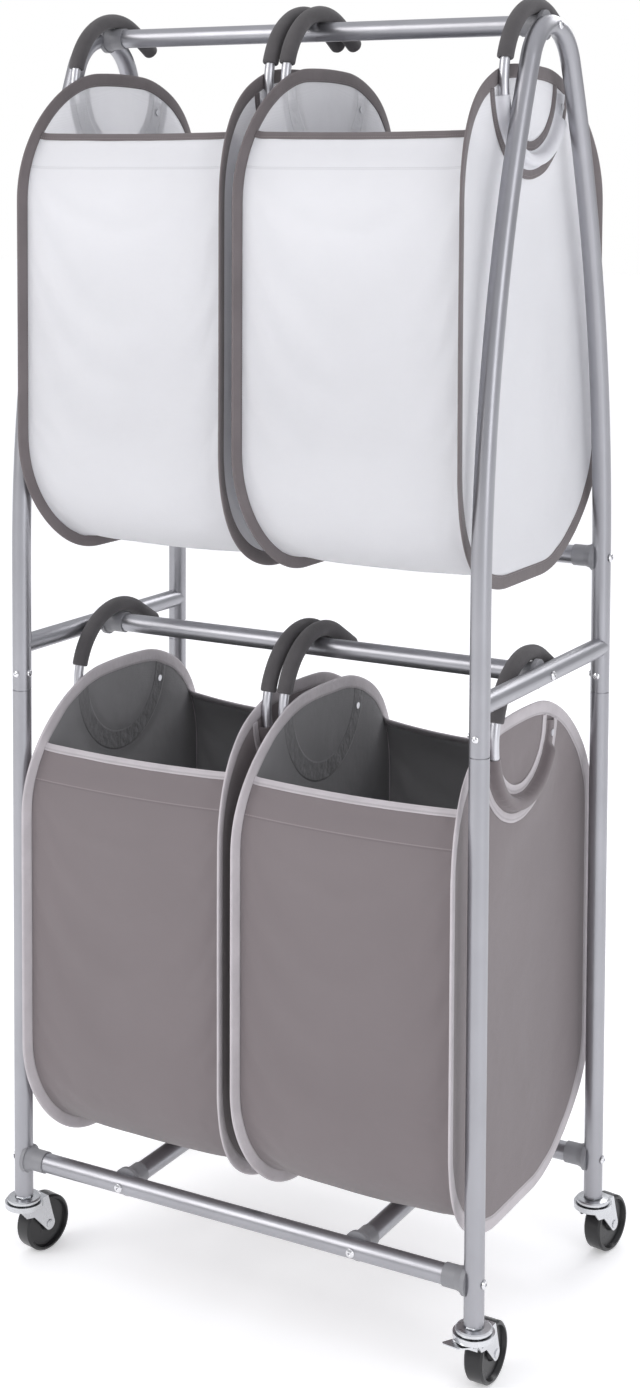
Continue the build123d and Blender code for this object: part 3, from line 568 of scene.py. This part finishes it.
def u_tape(s, rho, name):
    """Flat bound edge beside the casing."""
    first, last = strip_ends(s, rho)
    angles = np.linspace(first, last, U_STEPS)
    half = U_WIDTH / 2
    base = np.array([(-half, 0.0001), (-half, 0.0007), (-half + 0.0012, 0.0012), (0, 0.00135),
                     (half - 0.0012, 0.0012), (half, 0.0007), (half, 0.0001)])
    points = np.empty((len(angles), len(base), 3))
    for i, a in enumerate(angles):
        w = 0.0006 * rough_noise(s.seed + 11, a * 0.09, rho * 60, 0)
        lift = 1 + 0.3 * rough_noise(s.seed + 12, a * 0.25, rho * 60, 0)
        for j, (r, h) in enumerate(base):
            points[i, j] = s.ring(np.array(a), rho + r + w, h * lift)
    along = np.radians(angles) * (HOOK_R + rho)
    v = np.append(base[:, 0] + half, base[0, 0] + half)
    uv = np.stack(np.meshgrid(along, v, indexing="ij"), -1)
    obj = grid(name, points, uv, loop_cols=True)
    cap_ends(obj, len(angles), len(base))
    obj.data.materials.append(bag_looks[s.tier]["hem_tape"])
    return obj


def casing(s):
    """Sewn casing over the hook, full over the tube and low over its flattened end."""
    angles = np.concatenate([np.linspace(CASING_FRONT, TAB_START, 96),
                             np.linspace(TAB_START, CASING_END, 22)[1:]])
    profile = [(-0.0122, 0.0005), (-0.0104, 0.0006), (-0.0086, 0.0018), (-0.0078, 0.0060),
               (-0.0072, 0.0100), (-0.0047, 0.0137), (0, 0.01435), (0.0047, 0.0137),
               (0.0072, 0.0100), (0.0078, 0.0060), (0.0086, 0.0018), (0.0104, 0.0006),
               (0.0122, 0.0005)]
    lively = LIVELY[s.tier]
    points = np.empty((len(angles), len(profile), 3))
    lengths = np.empty(len(angles))
    for i, a in enumerate(angles):
        low = 1 - CASING_FLAT * float(step(TAB_START, TAB_FLAT, a))
        for j, (rho, h) in enumerate(profile):
            flank = 1.0 if FLANK[0] < h < FLANK[1] else 0.0
            pucker = rough_noise(s.seed + 14, a * 0.5, rho * 90, h * 60) * CASING_PUCKER * lively
            rho2 = rho + math.copysign(1, rho) * flank * max(pucker, CASING_DENT)
            points[i, j] = s.ring(np.array(a), rho2, h * low if h > 0.001 else h)
        lengths[i] = math.radians(a) * HOOK_R
    across = np.array([p[0] * CASING_STRETCH for p in profile])
    uv = np.stack(np.meshgrid(across, lengths, indexing="xy"), -1)
    obj = grid(f"{s.label}_casing", points, uv)
    if s.out < 0:
        obj.data.flip_normals()
    obj.data.materials.append(bag_looks[s.tier]["casing"])
    subdivide(obj)
    thicken(obj, CASING_SHEET)
    return obj


def foam_grip(s):
    """Foam sleeve, dented where it rests on the rail and on the saddle."""
    angles = np.linspace(FOAM_FRONT, FOAM_TIP, BEND_STEPS)
    centres = [(HOOK_R * math.cos(math.radians(a)), HOOK_R * math.sin(math.radians(a)))
               for a in angles]
    ny, nz = math.sin(math.radians(FOAM_TIP)), -math.cos(math.radians(FOAM_TIP))
    for k in range(1, TIP_STEPS + 1):
        d = TIP_LENGTH * k / TIP_STEPS
        centres.append((centres[BEND_STEPS - 1][0] + ny * d, centres[BEND_STEPS - 1][1] + nz * d))
    centres = np.array(centres)
    run = np.concatenate([[0], np.cumsum(np.linalg.norm(np.diff(centres, axis=0), axis=1))])
    total = run[-1]
    stations = [(0.0016, FOAM_BORE), (0.0, FOAM_BORE + 0.0003), (0.0, 0.0085), (0.0004, 0.0100),
                (0.0014, 0.0108)]
    stations += [(d, FOAM_R) for d in np.linspace(0.003, total - 0.004, 78)]
    stations += [(total - 0.0022, 0.0107), (total - 0.0008, 0.0096), (total - 0.0001, 0.0075),
                 (total, 0.0035)]
    turns = 28
    points = np.empty((len(stations), turns, 3))
    for i, (d, radius) in enumerate(stations):
        cy, cz = np.interp(d, run, centres[:, 0]), np.interp(d, run, centres[:, 1])
        ey, ez = np.interp(d + 0.001, run, centres[:, 0]), np.interp(d + 0.001, run, centres[:, 1])
        by, bz = np.interp(d - 0.001, run, centres[:, 0]), np.interp(d - 0.001, run, centres[:, 1])
        length = math.hypot(ey - by, ez - bz)
        ty, tz = (ey - by) / length, (ez - bz) / length
        for j in range(turns):
            a = 2 * math.pi * j / turns
            swell = radius
            if radius > 0.009:
                lumps = rough_noise(s.seed + 20, 30 * d, 2 * math.cos(a), 2 * math.sin(a))
                swell -= 0.00035 * (1 + lumps)
            x = s.hook_x + swell * math.cos(a)
            y = cy + swell * math.sin(a) * tz
            z = s.ring_z + cz - swell * math.sin(a) * ty
            rail = TUBE_R + RAIL_AIR
            if abs(x) > SADDLE_START:
                rail = SADDLE_SLEEVE + RAIL_AIR
            if abs(x) > LEG_X - SHOULDER_START:
                rail = SHOULDER_CLEAR
            if abs(x) > LEG_X - FLANGE_START:
                rail = FLANGE_CLEAR
            gap = math.hypot(y, z - s.rail_z)
            if gap < rail and radius > 0.007:
                y, z = y * rail / gap, s.rail_z + (z - s.rail_z) * rail / gap
            points[i, j] = (x, y, z)
    uv = np.zeros((len(stations), turns + 1, 2))
    obj = grid(f"{s.label}_foam", points, uv, loop_cols=True)
    bm = bmesh.new()
    bm.from_mesh(obj.data)
    bm.verts.ensure_lookup_table()
    last = (len(stations) - 1) * turns
    bm.faces.new([bm.verts[last + j] for j in range(turns)])
    bore = [bm.verts[j] for j in range(turns)]
    bore_edges = [e for e in bm.edges if e.verts[0] in bore and e.verts[1] in bore]
    deep = bmesh.ops.extrude_edge_only(bm, edges=bore_edges)["geom"]
    direction = Vector((0, *(centres[1] - centres[0]))).normalized()
    for v in deep:
        if isinstance(v, bmesh.types.BMVert):
            v.co += direction * 0.010
    bmesh.ops.recalc_face_normals(bm, faces=bm.faces)
    bm.to_mesh(obj.data)
    bm.free()
    obj.data.materials.append(looks["foam"])
    subdivide(obj)
    return obj


def wrap_line(rail_z):
    """Front, bottom and back of a bag as (y, z, ny, nz, distance from the top edge along it)."""
    hw, hh, r = (size - FLANGE - CLOTH / 2 for size in (PANEL_DEPTH / 2, PANEL_HEIGHT / 2,
                                                        PANEL_CORNER))
    centre = rail_z - PANEL_DROP - PANEL_HEIGHT / 2
    top = rail_z - WRAP_DROP - centre
    start = math.degrees(math.asin((top - (hh - r)) / r))
    rows = []
    for a in np.linspace(180 - start, 180, 12):
        a = math.radians(a)
        c, s = math.cos(a), math.sin(a)
        rows.append((-hw + r + r * c, hh - r + r * s, c, s))
    rows += [(-hw, z, -1.0, 0.0) for z in np.linspace(hh - r, -hh + r, 30)[1:]]
    for a in np.linspace(180, 270, 16)[1:]:
        a = math.radians(a)
        c, s = math.cos(a), math.sin(a)
        rows.append((-hw + r + r * c, -hh + r + r * s, c, s))
    rows += [(y, -hh, 0.0, -1.0) for y in np.linspace(-hw + r, hw - r, 8)[1:-1]]
    rows += [(-y, z, -ny, nz) for y, z, ny, nz in reversed(rows[:-6])]
    rows = np.array(rows)
    run = np.concatenate([[0], np.cumsum(np.linalg.norm(np.diff(rows[:, :2], axis=0), axis=1))])
    rows[:, 1] += centre
    return rows, run


def wrap_sheet(bag, tier, left, right, rail_z, seed):
    """One sheet down the front, under the bottom and up the back, hung between the two sides."""
    rows, run = wrap_line(rail_z)
    cols = WRAP_COLUMNS
    c = np.linspace(-math.pi / 2, math.pi / 2, cols) * GATHER
    c = np.sin(c) / math.sin(math.pi / 2 * GATHER)
    mid = (left.x + right.x) / 2
    half = abs(right.x - left.x) / 2 + bow(rows[:, 0]) - CLOTH
    x = mid + half[:, None] * c
    from_seam = half[:, None] * (1 - np.abs(c))
    deep = np.minimum(run, run[-1] - run)
    lively = WRAP_LIVELY[tier]
    out = np.empty_like(x)
    level = step(0.0, HEM_DEPTH, deep)[:, None]
    crown = (1 - c ** 2)
    front_droop, back_droop = DROOP[tier]
    droop = np.where(rows[:, 0:1] < 0, front_droop, back_droop)
    drop = droop * crown * (1 - step(0.0, DROOP_DEPTH, deep)[:, None])
    for i in range(len(rows)):
        for j in range(cols):
            n = rough_noise(seed, 6 * x[i, j], 2.4 * run[i], 0)
            fine = rough_noise(seed + 2, 20 * x[i, j], 6 * run[i], 3.0)
            out[i, j] = WRAP_WAVE * n * lively + WRAP_RIPPLE * fine * lively
    belly = BELLY + BELLY_GAIN * lively
    out = crown ** 0.7 * (belly * (0.35 + 0.65 * level) + out * level)
    roll = np.clip(1 - from_seam / ROLL_REACH, 0, 1) ** 2 * ROLL
    out = out + roll
    y = rows[:, 0:1] + rows[:, 2:3] * out
    z = rows[:, 1:2] + rows[:, 3:4] * out - drop
    points = np.stack([x, y, z], -1)
    uv = np.stack([x - mid, deep[:, None] + 0 * x], -1)
    obj = grid(f"{bag}_wrap", points, uv)
    obj.data.flip_normals()
    look = bag_looks[tier]
    obj.data.materials.append(look["wrap"])
    pins = np.zeros_like(x, bool)
    pins[:2] = pins[-2:] = True
    pins[:, :2] = pins[:, -2:] = True
    drapes.append((obj, pins.ravel().nonzero()[0].tolist(), None, WRAP_SHIFT))
    return obj, points


def hem_tape(bag, tier, points, row, side_sign):
    """Tape folded over the top edge of the front or the back."""
    edge = points[row]
    below = points[1 if row == 0 else -2]
    frames = []
    for p, q in zip(edge, below):
        down = (q - p) / np.linalg.norm(q - p)
        across = np.cross(down, [1.0, 0.0, 0.0])
        frames.append((p, down, across * np.sign(across[1] * side_sign) / np.linalg.norm(across)))
    base = np.array([(0.0098, 0.0011), (0.0088, 0.0016), (0.0045, 0.00175), (0.0, 0.0016),
                     (-0.0007, 0.0009), (-0.0009, 0.0), (-0.0007, -0.0009), (0.0, -0.0016),
                     (0.0045, -0.00175), (0.0088, -0.0016), (0.0098, -0.0011)])

    def profile(i):
        p = base.copy()
        x = edge[i][0]
        p[:, 1] *= 1 + 0.14 * rough_noise(31 + row, 40 * x, 0, 0)
        p[[0, 1, 9, 10], 0] += 0.0005 * rough_noise(37 + row, 30 * x, 0, 0)
        return p

    obj = sweep(f"{bag}_{'front' if side_sign < 0 else 'back'}_hem_tape", frames, profile,
                v_values=base[:, 0] + 0.0009)
    obj.data.materials.append(bag_looks[tier]["hem_tape"])
    return obj


def build_bag(tier, side_name, number):
    bag = f"{tier}_{side_name}"
    body = f"{bag}_bag"
    rail_low, rail_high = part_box("top_rail" if tier == "upper" else "mid_rail")
    rail_z = (rail_low.z + rail_high.z) / 2
    low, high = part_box(f"{bag}_hook_tubes")
    hooks = (low.x + HOOK_TUBE, high.x - HOOK_TUBE)
    left = Side(bag, tier, hooks[0], -1, rail_z, side_name == "left", 40 * number + 1)
    right = Side(bag, tier, hooks[1], 1, rail_z, side_name == "right", 40 * number + 21)
    cloth_slot = "white_cloth" if tier == "upper" else "grey_cloth"
    tape_slot = "taupe_binding" if tier == "upper" else "lilac_binding"
    made = []
    for s in (left, right):
        panel = side_panel(s)
        rim = rim_binding(s)
        inner = u_tape(s, -CASING_FOOT - U_WIDTH / 2, f"{s.label}_inner_u_tape")
        outer = u_tape(s, CASING_FOOT + U_WIDTH / 2, f"{s.label}_outer_u_tape")
        channel = casing(s)
        grip = foam_grip(s)
        made.append((panel, f"{bag}_side_panels", cloth_slot))
        made += [(piece, f"{bag}_bindings", tape_slot) for piece in (rim, inner, outer)]
        made.append((channel, f"{bag}_hook_channels", cloth_slot))
        made.append((grip, f"{bag}_foam_grips", "foam"))
    wrap, points = wrap_sheet(bag, tier, left, right, rail_z, 40 * number + 33)
    front = hem_tape(bag, tier, points, 0, -1.0)
    back = hem_tape(bag, tier, points, -1, 1.0)
    made += [(wrap, f"{bag}_wrap_panel", cloth_slot), (front, f"{bag}_bindings", tape_slot),
             (back, f"{bag}_bindings", tape_slot)]
    for obj, node, slot_name in made:
        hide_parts(node)
    return [obj for obj, _, _ in made], body


def drape_all():
    """Lets every sheet hang between its seams under its own weight, then keeps the result."""
    scene = bpy.context.scene
    rest = {}
    for obj, pinned, _, _ in drapes:
        rest[obj.name] = np.array([v.co for v in obj.data.vertices])
        group = obj.vertex_groups.new(name="seam")
        group.add(pinned, 1.0, "REPLACE")
        modifier = obj.modifiers.new("hang", "CLOTH")
        for key, value in DRAPE.items():
            setattr(modifier.settings, key, value)
        modifier.point_cache.frame_start = 1
        modifier.point_cache.frame_end = DRAPE_FRAMES
    for number in range(1, DRAPE_FRAMES + 1):
        scene.frame_set(number)
    graph = bpy.context.evaluated_depsgraph_get()
    results = {}
    for obj, _, _, _ in drapes:
        results[obj.name] = np.array([v.co for v in obj.evaluated_get(graph).data.vertices])
    for obj, _, inwards, most in drapes:
        start, moved = rest[obj.name], results[obj.name]
        shift = moved - start
        length = np.linalg.norm(shift, axis=1, keepdims=True)
        shift *= np.tanh(length / most) * most / np.maximum(length, 1e-9)
        if inwards is not None:
            n = np.array(inwards)
            along = shift @ n
            shift += np.outer(np.maximum(-along, 0), n)
        for modifier in list(obj.modifiers):
            obj.modifiers.remove(modifier)
        obj.data.vertices.foreach_set("co", (start + shift).astype(np.float32).ravel())
        obj.data.update()
    scene.frame_set(1)


bags = []
for number, (tier, side_name) in enumerate(
        [("upper", "left"), ("upper", "right"), ("lower", "left"), ("lower", "right")]):
    bags.append((tier, *build_bag(tier, side_name, number)))
drape_all()
for tier, pieces, body in bags:
    for obj in pieces:
        if obj.name.endswith("_panel"):
            subdivide(obj)
            thicken(obj, SHEET, bag_looks[tier]["side_in"])
        elif obj.name.endswith("_wrap"):
            subdivide(obj)
            thicken(obj, SHEET, bag_looks[tier]["wrap_in"])
        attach(obj, body)

# --- carried-over nodes -------------------------------------------------------------------------

for entry in frame["record"]["subparts"]:
    node = frame["nodes"][entry["node"]]
    look = looks.get(entry["material_slot"])
    if look is not None:
        node.data.materials.clear()
        node.data.materials.append(look)


# --- floor, light and camera --------------------------------------------------------------------

FLOOR_REACH, FLOOR_DROP = 30.0, 0.0005


def floor():
    ends = (-FLOOR_REACH, FLOOR_REACH)
    points = np.array([[(x, y, -FLOOR_DROP) for x in ends] for y in ends])
    uv = np.zeros((2, 2, 2))
    obj = grid("floor", points, uv, smooth=False)
    t = Tree("pale_floor", 0.7)
    t.set(t.shader, {"Emission Color": (1, 1, 1, 1), "Emission Strength": 0.34})
    stops = [(0.3, (0.90, 0.90, 0.91)), (0.7, (0.93, 0.93, 0.935))]
    obj.data.materials.append(t.finish(t.ramp(t.noise(1.5, 3.0), stops)))


def area_light(name, place, aim, size, power, colour=(1, 1, 1)):
    data = bpy.data.lights.new(name, "AREA")
    data.shape = "RECTANGLE"
    data.size, data.size_y = size
    data.energy, data.color = power, colour
    obj = bpy.data.objects.new(name, data)
    bpy.context.scene.collection.objects.link(obj)
    obj.location = place
    obj.rotation_euler = (Vector(aim) - Vector(place)).to_track_quat("-Z", "Y").to_euler()


floor()
world = bpy.data.worlds.new("studio")
world.use_nodes = True
sky = world.node_tree
dome = sky.nodes["Background"]
heights = sky.nodes.new("ShaderNodeSeparateXYZ")
sky.links.new(sky.nodes.new("ShaderNodeTexCoord").outputs["Generated"], heights.inputs[0])
glow = sky.nodes.new("ShaderNodeMapRange")
sky.links.new(heights.outputs[2], glow.inputs["Value"])
for socket, value in (("From Min", -0.1), ("From Max", 0.9), ("To Min", 0.42), ("To Max", 0.90)):
    glow.inputs[socket].default_value = value
dome.inputs[0].default_value = (0.96, 0.965, 1.0, 1)
sky.links.new(glow.outputs[0], dome.inputs[1])
backdrop = sky.nodes.new("ShaderNodeBackground")
backdrop.inputs[0].default_value = (1, 1, 1, 1)
seen = sky.nodes.new("ShaderNodeMixShader")
sky.links.new(sky.nodes.new("ShaderNodeLightPath").outputs["Is Camera Ray"], seen.inputs[0])
sky.links.new(dome.outputs[0], seen.inputs[1])
sky.links.new(backdrop.outputs[0], seen.inputs[2])
sky.links.new(seen.outputs[0], sky.nodes["World Output"].inputs[0])
bpy.context.scene.world = world
area_light("key", (-2.2, -3.4, 3.0), (0, 0, 0.9), (2.0, 2.8), 62, (1.0, 0.985, 0.97))
area_light("fill", (3.4, -1.6, 2.0), (0, 0, 0.9), (1.6, 2.8), 30, (0.97, 0.98, 1.0))
area_light("back", (0.6, 3.4, 3.2), (0, 0, 1.0), (2.4, 1.6), 40)

LENS_PIXELS, LONG_SIDE = 2145.0, 1388.0
AXIS_X, AXIS_Y = 4.5, -374.0         # the optical axis from the frame's middle, right and down
YAW, PITCH, ROLL = math.radians(29.115), math.radians(3.672), math.radians(0.290)
CAMERA_PLACE = (1.40632, -2.49309, 1.47400)
lens = bpy.data.cameras.new("camera")
camera = bpy.data.objects.new("camera", lens)
bpy.context.scene.collection.objects.link(camera)
level = math.cos(PITCH)
ahead = Vector((-math.sin(YAW) * level, math.cos(YAW) * level, -math.sin(PITCH)))
right_hand = Vector((math.cos(YAW), math.sin(YAW), 0))
upwards = right_hand.cross(ahead)
turned_right = right_hand * math.cos(ROLL) + upwards * math.sin(ROLL)
turned_up = upwards * math.cos(ROLL) - right_hand * math.sin(ROLL)
turn = Matrix((turned_right, turned_up, -ahead)).transposed().to_4x4()
camera.matrix_world = Matrix.Translation(CAMERA_PLACE) @ turn
lens.sensor_width = 36.0
lens.lens = LENS_PIXELS * lens.sensor_width / LONG_SIDE
lens.shift_x, lens.shift_y = -AXIS_X / LONG_SIDE, AXIS_Y / LONG_SIDE
bpy.context.scene.camera = camera
bpy.context.scene.view_settings.view_transform = "Standard"
